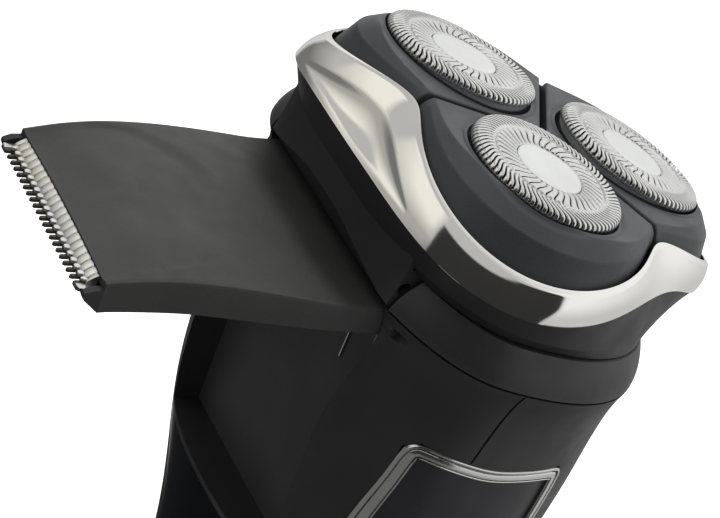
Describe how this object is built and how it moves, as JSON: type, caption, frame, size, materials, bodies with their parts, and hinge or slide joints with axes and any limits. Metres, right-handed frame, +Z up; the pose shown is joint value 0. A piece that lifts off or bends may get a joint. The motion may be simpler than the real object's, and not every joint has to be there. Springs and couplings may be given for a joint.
{
  "type": "rotary electric shaver",
  "caption": "Handheld rotary shaver with sprung round caps in a lobed chrome bezel, a tilting head, and a hair trimmer that folds out of the back of the curved handle.",
  "frame": {"origin": "a point on the flat face the handle stands on, 14.2 mm in front of the head axis", "axes": "+Z up the handle to the shaving head, -Y the front with the power button, +Y the rear with the trimmer"},
  "size_m": [0.0634, 0.0934, 0.1609],
  "materials": {
    "black_matte": "fine matte grain",
    "pod_grey": "fine matte grain",
    "chrome": "polished",
    "cap_steel": "satin",
    "disc_steel": "brushed",
    "cutter_steel": "machined",
    "panel_dark": "satin",
    "cover_gloss": "gloss",
    "lens": "clear gloss",
    "button": "satin metallic",
    "inner_white": "moulded",
    "gear_nylon": "moulded",
    "motor_can": "zinc",
    "cell_wrap": "shrink film",
    "board": "solder mask",
    "brass": "turned",
    "seal": "soft"
  },
  "bodies": {
    "handle": {"base_cap": "black_matte", "battery_cells": "cell_wrap", "chamber_seal": "seal", "charging_socket": "inner_white", "chassis": "inner_white", "circuit_board": "board", "front_housing": "black_matte", "front_panel": "cover_gloss", "gear_plate": "inner_white", "head_hinge_pin": "cutter_steel", "indicator_lens": "lens", "motor": "motor_can", "neck_collar": "black_matte", "plate_screws": "cutter_steel", "power_switch": "board", "rear_cover": "cover_gloss", "rear_housing": "black_matte", "rear_trim_strip": "chrome", "side_frame_far": "chrome", "side_frame_near": "chrome", "side_panel_far": "panel_dark", "side_panel_near": "panel_dark", "socket_pins": "brass", "trimmer_hinge_pin": "cutter_steel", "trimmer_lever": "inner_white", "trimmer_spring": "cutter_steel"},
    "head": {"head_frame": "black_matte", "chrome_bezel": "chrome", "cutter_retainer": "inner_white"},
    "pod_a": {"pod_a": "pod_grey"},
    "cap_a": {"cap_a": "cap_steel", "cap_disc_a": "disc_steel"},
    "cutter_a": {"cutter_a": "cutter_steel"},
    "spindle_a": {"spindle_a": "inner_white", "driven_gear_a": "gear_nylon", "spindle_spring_a": "cutter_steel"},
    "pod_b": {"pod_b": "pod_grey"},
    "cap_b": {"cap_b": "cap_steel", "cap_disc_b": "disc_steel"},
    "cutter_b": {"cutter_b": "cutter_steel"},
    "spindle_b": {"spindle_b": "inner_white", "driven_gear_b": "gear_nylon", "spindle_spring_b": "cutter_steel"},
    "pod_c": {"pod_c": "pod_grey"},
    "cap_c": {"cap_c": "cap_steel", "cap_disc_c": "disc_steel"},
    "cutter_c": {"cutter_c": "cutter_steel"},
    "spindle_c": {"spindle_c": "inner_white", "driven_gear_c": "gear_nylon", "spindle_spring_c": "cutter_steel"},
    "lock_knob": {"lock_knob": "inner_white"},
    "rotor": {"motor_shaft": "cutter_steel", "sun_gear": "gear_nylon"},
    "power_button": {"power_button": "button"},
    "release_button": {"release_button": "button"},
    "trimmer_switch": {"trimmer_switch": "button"},
    "trimmer": {"trimmer_leaf": "black_matte", "trimmer_comb": "cap_steel"},
    "trimmer_blade": {"trimmer_blade": "cap_steel"}
  },
  "joints": [
    {"name": "head_open", "type": "hinge", "parent": "handle", "child": "head", "pos_m": [0, 0.036, 0.1414], "axis": [-1, 0, 0], "range_deg": [0, 60]},
    {"name": "knob_turn", "type": "hinge", "parent": "head", "child": "lock_knob", "pos_m": [0, 0.0142, 0.147], "axis": [0, 0, 1], "range_deg": [0, 90]},
    {"name": "pod_tilt_a", "type": "hinge", "parent": "head", "child": "pod_a", "pos_m": [0.00476, 0.01695, 0.1508], "axis": [-0.5, 0.866, 0], "range_deg": [0, 4], "stiffness_Nm_per_rad": 0.1},
    {"name": "cap_float_a", "type": "slide", "parent": "pod_a", "child": "cap_a", "axis": [-0.0544, -0.0314, -0.998], "range_m": [0, 0.0005], "stiffness_N_per_m": 1500},
    {"name": "cutter_spin_a", "type": "hinge", "parent": "cap_a", "child": "cutter_a", "pos_m": [0.01316, 0.02179, 0.16], "axis": [0.0544, 0.0314, 0.998], "continuous": true},
    {"name": "spindle_spin_a", "type": "hinge", "parent": "handle", "child": "spindle_a", "pos_m": [0.01316, 0.02179, 0.14], "axis": [0, 0, 1], "continuous": true},
    {"name": "pod_tilt_b", "type": "hinge", "parent": "head", "child": "pod_b", "pos_m": [-0.00476, 0.01695, 0.1508], "axis": [-0.5, -0.866, 0], "range_deg": [0, 4], "stiffness_Nm_per_rad": 0.1},
    {"name": "cap_float_b", "type": "slide", "parent": "pod_b", "child": "cap_b", "axis": [0.0544, -0.0314, -0.998], "range_m": [0, 0.0005], "stiffness_N_per_m": 1500},
    {"name": "cutter_spin_b", "type": "hinge", "parent": "cap_b", "child": "cutter_b", "pos_m": [-0.01316, 0.02179, 0.16], "axis": [-0.0544, 0.0314, 0.998], "continuous": true},
    {"name": "spindle_spin_b", "type": "hinge", "parent": "handle", "child": "spindle_b", "pos_m": [-0.01316, 0.02179, 0.14], "axis": [0, 0, 1], "continuous": true},
    {"name": "pod_tilt_c", "type": "hinge", "parent": "head", "child": "pod_c", "pos_m": [0, 0.0087, 0.1508], "axis": [1, 0, 0], "range_deg": [0, 4], "stiffness_Nm_per_rad": 0.1},
    {"name": "cap_float_c", "type": "slide", "parent": "pod_c", "child": "cap_c", "axis": [0, 0.0628, -0.998], "range_m": [0, 0.0005], "stiffness_N_per_m": 1500},
    {"name": "cutter_spin_c", "type": "hinge", "parent": "cap_c", "child": "cutter_c", "pos_m": [0, -0.00099, 0.16], "axis": [0, -0.0628, 0.998], "continuous": true},
    {"name": "spindle_spin_c", "type": "hinge", "parent": "handle", "child": "spindle_c", "pos_m": [0, -0.00099, 0.14], "axis": [0, 0, 1], "continuous": true},
    {"name": "rotor_spin", "type": "hinge", "parent": "handle", "child": "rotor", "pos_m": [0, 0.0142, 0.14], "axis": [0, 0, 1], "continuous": true},
    {"name": "power_press", "type": "slide", "parent": "handle", "child": "power_button", "axis": [0, 1, 0], "range_m": [0, 0.0008], "stiffness_N_per_m": 600},
    {"name": "release_press", "type": "slide", "parent": "handle", "child": "release_button", "axis": [0, 1, 0], "range_m": [0, 0.0012], "stiffness_N_per_m": 300},
    {"name": "trimmer_switch_slide", "type": "slide", "parent": "handle", "child": "trimmer_switch", "axis": [0, -0.2873, -0.9578], "range_m": [0, 0.003]},
    {"name": "trimmer_fold", "type": "hinge", "parent": "handle", "child": "trimmer", "pos_m": [0, 0.0349, 0.1361], "axis": [-1, 0, 0], "range_deg": [0, 88.5]},
    {"name": "trimmer_blade_slide", "type": "slide", "parent": "trimmer", "child": "trimmer_blade", "axis": [1, 0, 0], "range_m": [-0.0008, 0.0008], "stiffness_N_per_m": 300}
  ],
  "couplings": [
    {"joint": "cutter_spin_a", "follows": "rotor_spin", "ratio": -1.1667},
    {"joint": "spindle_spin_a", "follows": "rotor_spin", "ratio": -1.1667},
    {"joint": "cutter_spin_b", "follows": "rotor_spin", "ratio": -1.1667},
    {"joint": "spindle_spin_b", "follows": "rotor_spin", "ratio": -1.1667},
    {"joint": "cutter_spin_c", "follows": "rotor_spin", "ratio": -1.1667},
    {"joint": "spindle_spin_c", "follows": "rotor_spin", "ratio": -1.1667}
  ]
}
